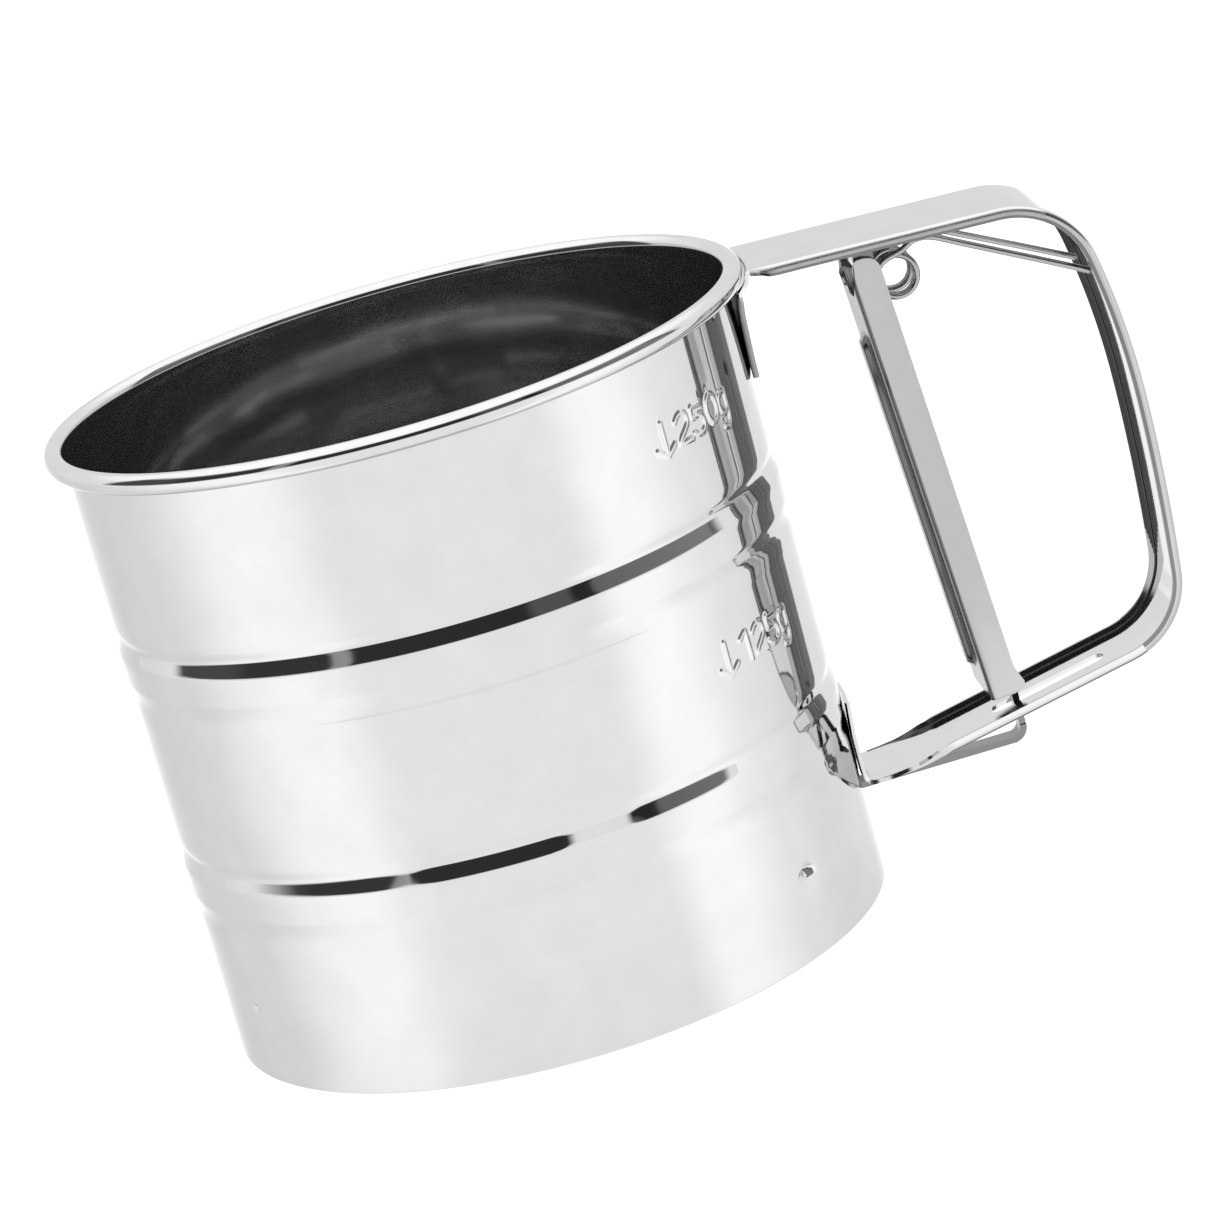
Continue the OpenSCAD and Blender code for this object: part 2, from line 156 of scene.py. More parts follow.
# dark: painted shade lines along the lips' tips and the bends
edge_shade_steel = steel("strap_edge_painted_shade", 0.19, 0.15, stretch=ON_STRAP, blue=0.003)
# a darker copy for the channel's web: painted shade
web_shade_steel = steel("trigger_web_painted_shade", 0.22, 0.20, wave=0.01, wave_scale=120, stretch=ON_TRIGGER)
# polished steel, darker than the cup's: painted shade over the whole trigger
trigger_shade_steel = steel("polished_trigger", 0.46, 0.12, wave=0.01, wave_scale=120, lines=0.0005,
                      stretch=ON_TRIGGER)
# dark: painted shade on the hinge bracket under the strap
bracket_shade_steel = steel("bracket_shade_steel", 0.20, 0.20, wave=0.01, lines=0.001, stretch=ALONG_X)
# dark: painted shade on the link down in the strap's slot
link_shade_steel = steel("link_shade_steel", 0.22, 0.14, wave=0.01, wave_scale=160, stretch=ON_LINK)
satin_steel = steel("satin_steel", 0.50, 0.22, wave=0.01, lines=0.001, stretch=ALONG_X)
wire_steel = steel("spring_wire", 0.40, 0.16)
mesh_steel = steel("woven_wire", 0.45, 0.25, lines=0.0008)


# ---------------------------------------------------------------- mesh helpers

def mesh_object(name, verts, faces, *materials, smooth=True):
    """A mesh object from vertices in mm."""
    me = bpy.data.meshes.new(name)
    corners = [tuple(v) for v in np.asarray(verts, float) * MM]
    me.from_pydata(corners, [], [tuple(int(i) for i in f) for f in faces])
    me.validate()
    o = bpy.data.objects.new(name, me)
    bpy.context.scene.collection.objects.link(o)
    me.polygons.foreach_set("use_smooth", [smooth] * len(me.polygons))
    for m in materials:
        me.materials.append(m)
    return o


def place(o, body, node):
    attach(o, body)
    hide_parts(node)
    return o


def apply(o, modifier):
    bpy.context.view_layer.objects.active = o
    bpy.ops.object.modifier_apply(modifier=modifier.name)


def sharp_by_angle(o, degrees):
    """Smooth shading that stays crisp where faces meet at more than the angle."""
    me = o.data
    me.polygons.foreach_set("use_smooth", [True] * len(me.polygons))
    me.update()
    me.set_sharp_from_angle(angle=math.radians(degrees))


def between(x, stops):
    """Straight runs between (place, value) stops, level beyond the ends."""
    at, value = zip(*stops)
    return np.interp(x, at, value)


def eased(x, stops):
    """The same, easing in and out of each stop."""
    at, value = np.array(stops).T
    k = np.clip(np.searchsorted(at, x) - 1, 0, len(at) - 2)
    t = np.clip((x - at[k]) / (at[k + 1] - at[k]), 0, 1)
    return value[k] + (value[k + 1] - value[k]) * t * t * (3 - 2 * t)


def spaced(stops):
    """Values from (start, step) stops; each run keeps its own step until the next."""
    out = []
    for (a, step), (b, _) in zip(stops[:-1], stops[1:]):
        out += list(np.linspace(a, b, max(1, round((b - a) / step)), endpoint=False))
    return np.array(out + [stops[-1][0]])


def arc(centre, radius, degrees, steps):
    """Points on an arc, between two angles given in degrees."""
    return [(centre[0] + radius * math.cos(t), centre[1] + radius * math.sin(t))
            for t in np.radians(np.linspace(*degrees, steps))]


def unit(v):
    """Vectors, one a row, made one long."""
    return v / np.linalg.norm(v, axis=1)[:, None]


def grid_faces(rows, cols, close_rows=False, close_cols=False):
    """Quads over a grid of vertices stored row by row."""
    row = np.arange(rows if close_rows else rows - 1)
    col = np.arange(cols if close_cols else cols - 1)
    r, c = np.meshgrid(row, col, indexing="ij")
    r2, c2 = (r + 1) % rows, (c + 1) % cols
    return np.stack([r * cols + c, r * cols + c2, r2 * cols + c2, r2 * cols + c], -1).reshape(-1, 4)


def skin(rings):
    """A closed solid over rings of equal count, one after the other, with flat ends."""
    count, n = len(rings), len(rings[0])
    faces = [list(f) for f in grid_faces(count, n, close_cols=True)]
    faces += [list(range(n))[::-1], list((count - 1) * n + np.arange(n))]
    return np.concatenate(rings), faces


def smooth_path(points, step, passes):
    """A polyline resampled evenly and rounded slightly at its corners."""
    p = np.asarray(points, float)
    d = np.r_[0, np.cumsum(np.linalg.norm(np.diff(p, axis=0), axis=1))]
    n = max(2, int(d[-1] / step) + 1)
    s = np.linspace(0, d[-1], n)
    q = np.stack([np.interp(s, d, p[:, k]) for k in range(p.shape[1])], 1)
    for _ in range(passes):
        q[1:-1] = (q[:-2] + 2 * q[1:-1] + q[2:]) / 4
    return q


def tube(path, radius, sides, round_ends):
    """A wire along path, as vertices and faces."""
    points, scale = np.asarray(path, float), [1.0] * len(path)
    if round_ends:
        # steps of a domed end: how far past the path's end, and how wide, in radii
        dome = [(0.5, 0.87), (0.87, 0.5), (0.98, 0.2)]
        back, on = unit(np.array([points[0] - points[1], points[-1] - points[-2]]))
        first = [points[0] + back * radius * a for a, _ in dome[::-1]]
        last = [points[-1] + on * radius * a for a, _ in dome]
        scale = [b for _, b in dome[::-1]] + scale + [b for _, b in dome]
        points = np.array([*first, *points, *last])
    across = np.array([0.3, 0.9, 0.2])
    angle = np.linspace(0, 2 * np.pi, sides, endpoint=False)
    rings = []
    for p, t, width in zip(points, unit(np.gradient(points, axis=0)), scale):
        across = np.cross(t, across) if not rings else across - t * (across @ t)
        across = across / np.linalg.norm(across)
        circle = np.outer(np.cos(angle), across) + np.outer(np.sin(angle), np.cross(t, across))
        rings.append(p + radius * width * circle)
    return skin(rings)


def join(parts):
    """Several (vertices, faces) as one."""
    verts, faces, base = [], [], 0
    for v, f in parts:
        verts.append(v)
        faces += [[int(i) + base for i in q] for q in f]
        base += len(v)
    return np.concatenate(verts), faces


# ---------------------------------------------------------------- cup

CUP_R, CUP_H, WALL = 50.0, 96.0, 0.4
PER_DEGREE = math.radians(1) * CUP_R        # mm round the wall
CURL_R, FOOT_R = 1.55, 0.7                  # rolled rim, and the bend at the foot
FLANGE_R, FLANGE_MID_R = 47.8, 48.6         # inner edge and middle of the base flange
GROOVES = (66.9, 33.4)                      # heights of the two grooves over the beads

# A bead's outline: height from its groove, and how far the wall stands off its plain radius
BEAD = [(-11.8, 0), (-10.7, -0.07), (-9.7, -0.22), (-8.7, -0.20), (-7.5, 0.05), (-6.7, 0.28),
        (-3.0, 0.33), (-2.35, 0.27), (-0.12, -0.52), (0.10, -0.50), (1.35, -0.04), (1.9, 0)]

# How deep the lower bead was rolled: azimuth and share of the full depth
ROLLED = [(-180, 0.9), (-118, 0.85), (-112, 0.6), (-108, 0.95), (-88, 0.9), (-85, 0.5), (-75, 0.5),
          (-73, 0.9), (-57, 0.85), (-53, 0.5), (-30, 0.5), (0, 0.9), (180, 0.9)]

# Strokes of the fill marks' characters: degrees round the wall, and mm up from the line they stand on
CHARACTERS = {
    "arrow": [[(0, 4.3), (0, 0)], [(-2.1, 0.65), (-0.1, -0.5)], [(0.1, -0.5), (2.15, 0.65)]],
    "0": [[(1.7 + 1.7 * math.sin(a), 2.2 + 2.1 * math.cos(a)) for a in np.linspace(0, 2 * math.pi, 13)]],
    "1": [[(0, 3.4), (1.9, 4.3), (2.0, 0)]],
    "2": [[(0, 3.4), (0.7, 4.0), (1.8, 4.3), (2.9, 3.9), (3.4, 3.2), (3.1, 2.4), (2.1, 1.7), (0.7, 0.9),
           (0, 0.05), (3.5, -0.05)]],
    "5": [[(3.15, 4.2), (0.35, 4.2), (0.2, 2.5), (1.5, 2.7), (2.9, 2.4), (3.65, 1.6), (3.55, 0.6),
           (2.55, 0.05), (1.2, 0), (0, 0.45)]],
    "g": [[(2.75, 3.2), (1.55, 3.5), (0.4, 3.0), (0, 1.9), (0.5, 0.7), (1.75, 0.3), (2.75, 0.8)],
          [(2.85, 3.4), (2.85, -0.75), (1.95, -1.65), (0.4, -1.45)]],
}
# Fill marks: height of the line, then each character with the azimuth where it starts
MARKS = [
    (78.77, [("arrow", -49.45), ("2", -46.15), ("5", -41.95), ("0", -36.95), ("g", -32.75)]),
    (45.42, [("arrow", -48.75), ("1", -44.85), ("2", -41.25), ("5", -36.75), ("g", -32.35)]),
]
MARK_HALF, MARK_RISE = 0.70, 0.21           # half width of a stroke's ridge, and how far it stands out

# Dimples that hold the sieve ring: azimuth, depth, half width, bottom and top
DIMPLES = [(-43.7, 1.15, 2.6, 9.5, 13.1), (-32.3, 0.22, 1.1, 10.2, 12.4), (-156.0, 0.6, 1.1, 9.8, 12.2),
           (76.0, 1.05, 2.2, 9.8, 13.2)]

# Opening in the wall for the link: half width, bottom and top
LINK_HALF, LINK_FROM, LINK_TO = 3.4, 10.9, 13.5


def wall_offset(z, grooves=GROOVES):
    """The wall's stand-off at heights z over the beads of these grooves, with the bends slightly rounded."""
    near = np.linspace(-0.22, 0.22, 9)
    weight = np.cos(near / 0.25 * np.pi / 2) ** 2
    bead = [between(z + a - g, BEAD) * w for g in grooves for a, w in zip(near, weight)]
    return sum(bead) / weight.sum()


def distance_to(path, u, v):
    """Distance from points (u, v) to a polyline."""
    nearest = np.full(len(u), 9.0)
    for a, b in zip(path[:-1], path[1:]):
        run = b - a
        t = np.clip(((u - a[0]) * run[0] + (v - a[1]) * run[1]) / (run @ run), 0, 1)
        nearest = np.minimum(nearest, np.hypot(u - a[0] - t * run[0], v - a[1] - t * run[1]))
    return nearest


def marks(azimuth, z):
    """How far the fill marks stand out of the wall, on grids of azimuth and height."""
    out = np.zeros_like(azimuth)
    u = azimuth * PER_DEGREE
    strokes = [[((start + a) * PER_DEGREE, line + h) for a, h in stroke]
               for line, row in MARKS for name, start in row for stroke in CHARACTERS[name]]
    for stroke in strokes:
        path = smooth_path(stroke, 0.25, 3)
        (u0, z0), (u1, z1) = path.min(0) - 1, path.max(0) + 1
        box = (u > u0) & (u < u1) & (z > z0) & (z < z1)
        ridge = np.clip(1 - distance_to(path, u[box], z[box]) / MARK_HALF, 0, 1)
        out[box] = np.maximum(out[box], MARK_RISE * ridge * ridge * (3 - 2 * ridge))
    return out


def dimples(azimuth, z):
    """How far the dimples go into the wall: sloped from below, with a steep, slightly curved top edge."""
    out = np.zeros_like(azimuth)
    for centre, depth, half, bottom, top in DIMPLES:
        du = (azimuth - centre) * PER_DEGREE / half
        across = np.where(abs(du) < 1, np.cos(du * np.pi / 2) ** 2, 0)
        edge = top - 0.9 * np.clip(abs(du), 0, 1) ** 2
        slope = between((z - bottom) / (edge - bottom), [(0, 0), (0.62, 0.18), (1, 1)])
        out += depth * across * np.where(z < edge, slope, np.clip(1 - (z - edge) / 0.45, 0, 1))
    return out


def wall_rows():
    """The cup's section from the flange's edge, up the outside, over the rim and down the inside.

    Each row is radius, height, and 1 where the beads, marks and dimples shape it. The number of the first
    row of the inside comes with them.
    """
    top = CUP_H - CURL_R
    outside = spaced([(0.9, 0.9), (9.3, 0.2), (13.6, 1.0), (21.0, 0.3), (34.9, 1.0), (43.0, 0.16),
                      (50.4, 1.0), (54.5, 0.3), (68.4, 1.2), (76.4, 0.16), (83.6, 1.2), (top, 1)])
    inside = spaced([(0.9, 1.0), (9.3, 0.4), (13.6, 1.2), (21.0, 0.6), (34.9, 1.5), (54.5, 0.6),
                     (68.4, 1.5), (top, 1)])[::-1]
    curl = (CUP_R - WALL + CURL_R, top)
    rows = [(FLANGE_R, 0.0, 0), (FLANGE_MID_R, 0.0, 0)]
    rows += [(r, z, 0) for r, z in arc((CUP_R - FOOT_R, FOOT_R), FOOT_R, (-90, 0), 7)[:-1]]
    rows += [(CUP_R + o, z, 1) for z, o in zip(outside, wall_offset(outside))]
    # the rim's sheet is curled: its inner side out to the free edge, then its outer side back
    rows += [(r, z, 0) for r, z in arc(curl, CURL_R - WALL, (170, -118), 25)]
    rows += [(r, z, 0) for r, z in arc(curl, CURL_R - WALL / 2, (-124, -124), 1)]
    rows += [(r, z, 0) for r, z in arc(curl, CURL_R, (-118, 170), 33)]
    rows += [(CUP_R - WALL + o, z, 1) for z, o in zip(inside, wall_offset(inside))]
    rows += [(CUP_R - FOOT_R, 0.48, 0), (FLANGE_MID_R, WALL, 0), (FLANGE_R, WALL, 0)]
    return np.array(rows), len(rows) - len(inside) - 3


def cup():
    # finer columns over the dimples and the marks
    azimuth = spaced([(-180, 2.0), (-159, 0.6), (-153, 1.5), (-53, 0.17), (-27.0, 1.2), (70, 0.6),
                      (82, 2.0), (180, 1)])[:-1]
    rows, inner_from = wall_rows()
    A, Z = np.meshgrid(azimuth, rows[:, 1])
    slack = (1 - between(azimuth, ROLLED)) * wall_offset(Z, GROOVES[1:])
    R = rows[:, :1] + rows[:, 2:] * (marks(A, Z) - dimples(A, Z) - slack)
    T = np.radians(A)
    verts = np.stack([R * np.cos(T), R * np.sin(T), Z], -1).reshape(-1, 3)
    faces = grid_faces(len(rows), len(azimuth), True, True)
    x, y, z = verts[faces].mean(1).T
    opening = (x > CUP_R * 0.8) & (abs(y) < LINK_HALF) & (z > LINK_FROM) & (z < LINK_TO)
    o = mesh_object("cup_wall", verts, faces[~opening], wall_steel, inside_shade_steel)
    # the darker inside steel, painted shade, starts where the rim's curl meets the wall
    inner_row = faces[:, 0] // len(azimuth) >= inner_from - 6
    inside = inner_row & (np.hypot(x, y) < CUP_R - WALL / 2 + wall_offset(z))
    o.data.polygons.foreach_set("material_index", inside[~opening].astype(int))
    o.data.update()
    return place(o, "cup_and_handle", "cup_body")


cup()


# ---------------------------------------------------------------- handle strap

STRAP_T, BEND_R = 0.6, 0.8       # sheet, and the bend at the strap's folded edges
LIP = 0.85                       # straight part of the folded edge
START, HEADING = (55.2, 94.35), -2.5
# The D from its top end: each run's length and 0, or its radius and the degrees it turns
RUNS = [(34.8, 0), (13.5, 76.5), (120, 11), (300, 5.2), (12.6, 73.9), (33.2, 0), (30, 7.4), (4.2, 0)]
# The ends beyond the D, which lie along the wall, in (x, z)
TOP_TAB = [(50.03, 78.8), (50.05, 81.0), (50.15, 84.0), (50.3, 87.0), (50.45, 89.0), (50.7, 90.6),
           (51.2, 91.7), (52.0, 92.3), (52.6, 92.8), (52.86, 93.4), (52.92, 94.05), (53.2, 94.38),
           (54.0, 94.40)]
LOW_TAB = [(51.2, 13.62), (50.65, 13.85), (50.2, 14.4), (50.03, 15.2), (50.03, 18.0), (50.03, 21.9),
           (50.15, 23.5), (50.3, 25.4), (50.45, 27.2)]
SLOT_FROM, SLOT_TO, SLOT_R = 71.6, 90.2, 1.7

# Steels of the strap, by their place in its material list: the polished face, then darker copies that paint
# shade on the lips, folds, edges and tabs
FACE, SHADED_OUTER_LIP, FOLD_SHADE, EDGE_SHADE, DULL_SHADE = range(5)


def strap_line():
    """The D's outer face in (x, z)."""
    p, heading = np.array(START), HEADING
    points = [p]
    for size, turn in RUNS:
        if turn == 0:
            steps = max(2, int(size))
            along = np.array([math.cos(math.radians(heading)), math.sin(math.radians(heading))])
            points += [p + along * size * i / steps for i in range(1, steps + 1)]
        else:
            steps = max(4, int(math.radians(turn) * size / 0.8))
            down = math.radians(heading - 90)
            centre = p + size * np.array([math.cos(down), math.sin(down)])
            bend = arc(centre, size, (heading + 90, heading + 90 - turn), steps + 1)
            points += [np.array(q) for q in bend[1:]]
            heading -= turn
        p = points[-1]
    return np.array(points)


def half_width(z):
    return (15.3 + 0.055 * z) / 2


def strap_section(width, lean, lip, fold):
    """The strip's section in (y, depth), its edges bent by lean to straight lips and folded by a share."""
    size = between(fold, [(0, 0.35), (0.5, 0.55), (1, 1)])
    steps = [(BEND_R * lean / 7, lean * (i + 0.5) / 7) for i in range(7)] + [(lip / 6, lean)] * 6
    flat = width - BEND_R
    outer = [(flat * share, 0.0) for share in (0, 0.35, 0.7, 0.93, 1)]
    for length, turn in steps:
        y, d = outer[-1]
        outer.append((y + size * length * math.cos(fold * turn), d + size * length * math.sin(fold * turn)))
    outer = np.array(outer)
    along = np.gradient(outer, axis=0)
    along[0] = (1, 0)
    along = unit(along)
    inner = outer + STRAP_T * np.stack([-along[:, 1], along[:, 0]], 1)
    half = [*outer, *inner[::-1]]
    return half[:-1] + [(-y, d) for y, d in half[:0:-1]]


def strap_look(j, at, s0, s1):
    """The steel of a face: j is its place round the section, and at its place along the strip.

    Round the section the bend is 5 to 11, the lip's outer side 12 to 16, its tip 17 and the inner side 18
    to 30. Along the strip the D runs from s0 to s1.
    """
    top_run, back_run, low_run = s0 - 1.5 < at <= s0 + 42, s0 + 42 < at < s1 - 44, s1 - 44 <= at < s1 - 2
    # the tabs' outer side is painted a darker grey as shade
    if at < s0 - 6:
        return DULL_SHADE if j <= 30 else FACE
    if s0 + 1 < at < s1 - 1 and 18 <= j <= 30:
        # round the lower back corner the lip opens towards the light, first at its tip; elsewhere its inner
        # side is painted near black as shade
        lit = sum(s1 - 61.5 + 0.9 * i < at < s1 - 42.5 - 0.9 * i for i in range(6))
        return FACE if j - 18 < lit else FOLD_SHADE
    # the top run's near edge: a painted grey band of shade, then a painted dark line
    if top_run and 8 <= j <= 17:
        return DULL_SHADE if j <= 13 else EDGE_SHADE
    # the back run's lip: painted grey shade on its outer side, a painted dark line at its tip
    if back_run and 7 <= j <= 17:
        return SHADED_OUTER_LIP if j <= 12 else EDGE_SHADE
    # the lower run's bend: a painted dark line of shade
    if low_run and 5 <= j <= 8:
        return EDGE_SHADE
    return SHADED_OUTER_LIP if low_run and j == 17 else FACE


def cut_slot(o):
    """Cuts the slot that the link passes through."""
    outline = arc((SLOT_TO - SLOT_R, 0), SLOT_R, (-90, 90), 13)
    outline += arc((SLOT_FROM + SLOT_R, 0), SLOT_R, (90, 270), 13)
    rings = [np.array([(x, y, z) for x, y in outline]) for z in (10.0, 26.0)]
    cutter = mesh_object("slot_cutter", *skin(rings), strap_steel, smooth=False)
    cut = o.modifiers.new("slot", "BOOLEAN")
    cut.object = cutter
    cut.solver = "EXACT"
    apply(o, cut)
    bpy.data.objects.remove(cutter)


def strap():
    run = strap_line()
    head = smooth_path([*TOP_TAB, run[0]], 0.35, 1)
    tail = smooth_path([run[-1], *LOW_TAB], 0.5, 2)
    line = np.concatenate([head[:-1], run, tail[1:]])
    along = unit(np.gradient(line, axis=0))
    inward = np.stack([along[:, 1], -along[:, 0]], 1)
    s = np.r_[0, np.cumsum(np.linalg.norm(np.diff(line, axis=0), axis=1))]
    s0, s1 = s[len(head) - 1], s[len(head) + len(run) - 2]
    # how far the edges are folded: partly on the tabs, hardly at the corners by the cup, and fully between
    fold = between(s, [(s0 - 7, 0.5), (s0 - 3.6, 0.12), (s0 - 2, 0.12), (s0 + 1.2, 1), (s1 - 9, 1),
                       (s1 - 2, 0.2), (s1, 0.12), (s1 + 5, 0.45)])
    # the edges stand square, and open outwards only at the lower end by the cup
    lean = np.radians(between(s, [(0, 88), (s0 + 150, 90), (s0 + 150.1, 68)]))
    lip = between(s, [(s1 - 62, LIP), (s1 - 48, LIP - 0.1)])
    # the strip follows the rim's curve, and on the tabs the wall's curve part of the way
    wrap = between(s, [(s0 - 7, 0.7), (s0 - 5, 1), (s0 - 1.5, 1), (s0 + 5, 0), (s1, 0), (s1 + 5, 0.7)])
    rings = []
    for k, (x, z) in enumerate(line):
        section = strap_section(half_width(z), lean[k], lip[k], fold[k])
        rings.append(np.array([(x + inward[k, 0] * d - wrap[k] * (CUP_R - math.sqrt(CUP_R ** 2 - y * y)), y,
                                z + inward[k, 1] * d) for y, d in section]))
    verts, faces = skin(rings)
    o = mesh_object("handle_strap", verts, faces, strap_steel, lip_shade_steel, fold_shade_steel, edge_shade_steel, dull_shade_steel)
    per = len(rings[0])
    looks = []
    for face in faces:
        j = sorted({i % per for i in face})
        # both halves of the section are counted from the middle of the outer face
        j = j[-1] if j[0] == 0 and j[-1] == per - 1 else j[0]
        flat_end = len(face) > 4
        looks.append(FACE if flat_end else strap_look(min(j, per - 1 - j), s[min(face) // per], s0, s1))
    o.data.polygons.foreach_set("material_index", looks)
    cut_slot(o)
    sharp_by_angle(o, 40)
    return place(o, "cup_and_handle", "handle_strap")


strap()


# ---------------------------------------------------------------- trigger

# In the trigger's own frame x runs out of the channel, y across and z up from the hinge
HINGE, LEAN = (69.7, 88.9), 3.65
TRIG_W, TRIG_T, BACK, DEPTH, LENGTH = 15.4, 0.7, -2.65, 4.7, 68.1
HALF, FRONT, CORNER = TRIG_W / 2, BACK + DEPTH, 1.1
EAR_TOP, EAR_R, WEB_TOP = 2.1, 2.3, -4.1
RIB_HALF, RIB_FROM, RIB_TO, RIB_RISE = 2.6, -61.6, -12.9, 1.0
# The flange's foot: how far it flares, over what height, and how high up it is rounded off
FLARE, FLARE_H, FLARE_CUT = 1.35, 4.2, 1.3


def on_trigger(v):
    """From the trigger's own frame to the frame that all pieces share."""
    a = math.radians(LEAN)
    return np.stack([HINGE[0] + v[:, 0] * math.cos(a) - v[:, 2] * math.sin(a), v[:, 1],
                     HINGE[1] + v[:, 0] * math.sin(a) + v[:, 2] * math.cos(a)], 1)


def rib_height(y, z):
    """How far the web's long rib stands out, at a point on the web."""
    d = np.hypot(y, max(z - RIB_TO, RIB_FROM - z, 0))
    t = np.clip(RIB_HALF - d, 0, 1)
    return RIB_RISE * t * t * (3 - 2 * t)


def channel_section():
    """The channel's outline from one flange's free edge round the web to the other, and the way inwards."""
    side = [(FRONT - a, HALF) for a in (0, 0.15, 0.9, 1.8, 2.7, DEPTH - CORNER)]
    side += arc((BACK + CORNER, HALF - CORNER), CORNER, (90, 180), 9)[1:]
    flat = HALF - CORNER
    beside, rib = np.linspace(flat, RIB_HALF + 0.3, 5)[1:], np.linspace(RIB_HALF, -RIB_HALF, 23)
    web = np.r_[beside, rib, -beside[::-1]]
    section = np.array(side + [(BACK, y) for y in web] + [(x, -y) for x, y in side[::-1]])
    along = unit(np.gradient(section, axis=0))
    inward = np.stack([-along[:, 1], along[:, 0]], 1)
    towards = (inward * (np.array([FRONT + 2, 0]) - section)).sum(1)
    return section, inward * np.where(towards < 0, -1, 1)[:, None]


def flange_edge(z):
    """Where the flanges' free edge lies: round at the ears' top, flared at the foot."""
    edge, foot = FRONT, z + LENGTH
    if z > EAR_TOP - EAR_R:
        edge = FRONT - EAR_R + math.sqrt(max(0.0, EAR_R ** 2 - (z - EAR_TOP + EAR_R) ** 2))
    if foot < FLARE_H:
        edge += FLARE * (1 - max(foot, FLARE_CUT) / FLARE_H) ** 1.2 - 1.1 * max(0, FLARE_CUT - foot) ** 2
    return edge


def thicken(quads, offset):
    """A sheet's faces: the quads, the same again offset vertices on, and strips that close its borders."""
    faces = [list(q) for q in quads] + [list(q[::-1] + offset) for q in quads]
    sides = {(int(a), int(b)): None for q in quads for a, b in zip(q, np.roll(q, -1))}
    return np.array(faces + [[b, a, a + offset, b + offset] for a, b in sides if (b, a) not in sides])


def trigger():
    section, inward = channel_section()
    x, y = section.T
    heights = spaced([(-LENGTH, 0.44), (-65.0, 0.4), (-64.6, 0.34), (-60.2, 0.7), (-59.5, 2.26),
                      (-16.5, 2.0), (-14.5, 0.325), (-11.9, 0.5), (-11.4, 1.03), (-4.2, 0.6),
                      (-3.6, 0.475), (EAR_TOP, 1)])[::-1]
    flange = abs(y) > HALF - 0.05
    # the web stops below the ears, in a shallow curve from flange to flange
    top = WEB_TOP + 1.9 * (abs(y) / (HALF - 1.0)) ** 3
    top += (EAR_TOP - top) * np.clip((x - BACK - 0.35) / 0.75, 0, 1)
    outer = []
    for z in heights:
        # the flange's free edge moves, and the rest of it follows in proportion
        share = np.clip((x - BACK - CORNER) / (DEPTH - CORNER), 0, 1)
        px = x + np.where(flange, (flange_edge(z) - FRONT) * share, 0)
        px = px - np.where(abs(px - BACK) < 0.01, rib_height(y, z), 0)
        outer.append(np.stack([px, y, np.minimum(z, top)], 1))
    outer = np.array(outer)
    inner = outer + TRIG_T * np.column_stack([inward, np.zeros(len(x))])
    verts = np.concatenate([outer.reshape(-1, 3), inner.reshape(-1, 3)])
    quads = grid_faces(len(heights), len(x))
    above = heights[quads // len(x)] >= top[quads % len(x)] - 1e-6
    faces = thicken(quads[~above.all(1)], outer.size // 3)
    used, renumbered = np.unique(faces, return_inverse=True)
    corners = on_trigger(verts[used])
    o = mesh_object("trigger_channel", corners, renumbered.reshape(-1, 4), trigger_shade_steel, web_shade_steel)
    # the web gets the darker steel: painted shade
    on_web = verts[faces][:, :, 0].max(1) < BACK + 0.5
    o.data.polygons.foreach_set("material_index", on_web.astype(int))
    bm = bmesh.new()
    bm.from_mesh(o.data)
    bmesh.ops.remove_doubles(bm, verts=bm.verts, dist=0.002 * MM)
    bm.to_mesh(o.data)
    bm.free()
    bevel = o.modifiers.new("edge", "BEVEL")
    bevel.width = 0.12 * MM
    bevel.segments = 2
    bevel.limit_method = "ANGLE"
    bevel.angle_limit = math.radians(55)
    apply(o, bevel)
    sharp_by_angle(o, 50)
    return place(o, "trigger", "trigger_channel")


trigger()


# ---------------------------------------------------------------- return spring

COIL_AT, COIL_R, COIL_TURN = (74.2, 86.0), 3.1, 810     # centre in (x, z), radius, and degrees wound
COIL_OUTER, COIL_INNER = 3.6, 1.5                       # how far from the middle a coil starts and ends
WIRE_R = 0.5
# One half of the wire: its leg from the handle's corner, and its leg down the web
CORNER_LEG = [(101.6, -5.5, 79.2), (93, -5.1, 83.8), (84.1, -4.5, 88.5), (81.0, -4.3, 90.2),
              (79.4, -4.2, 90.75), (77.6, -4.1, 90.7), (75.8, -3.9, 89.6)]
WEB_LEG = [(70.9, -1.4, 83.8), (70.2, -1.4, 81.4), (69.7, -1.35, 79.7), (69.6, -1.3, 78.6),
           (69.75, -1.25, 76), (70.1, -1.2, 71.4), (70.2, -0.8, 70.4)]


def spring():
    coil = []
    for turned in np.arange(8, COIL_TURN - 3, 12.5):
        a = math.radians(90 + turned)
        y = -COIL_OUTER + (COIL_OUTER - COIL_INNER) * turned / COIL_TURN
        coil.append((COIL_AT[0] + COIL_R * math.cos(a), y, COIL_AT[1] + COIL_R * math.sin(a)))
    half = CORNER_LEG + coil + WEB_LEG
    path = smooth_path(half + [(x, -y, z) for x, y, z in half[::-1]], 0.35, 3)
    o = mesh_object("return_spring", *tube(path, WIRE_R, 14, True), wire_steel)
    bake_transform(o)
    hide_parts("return_spring")
    return o


spring()


# ---------------------------------------------------------------- woven mesh

PITCH, MESH_WIRE_R, MESH_R, MESH_Z = 1.7, 0.17, 48.9, 2.1


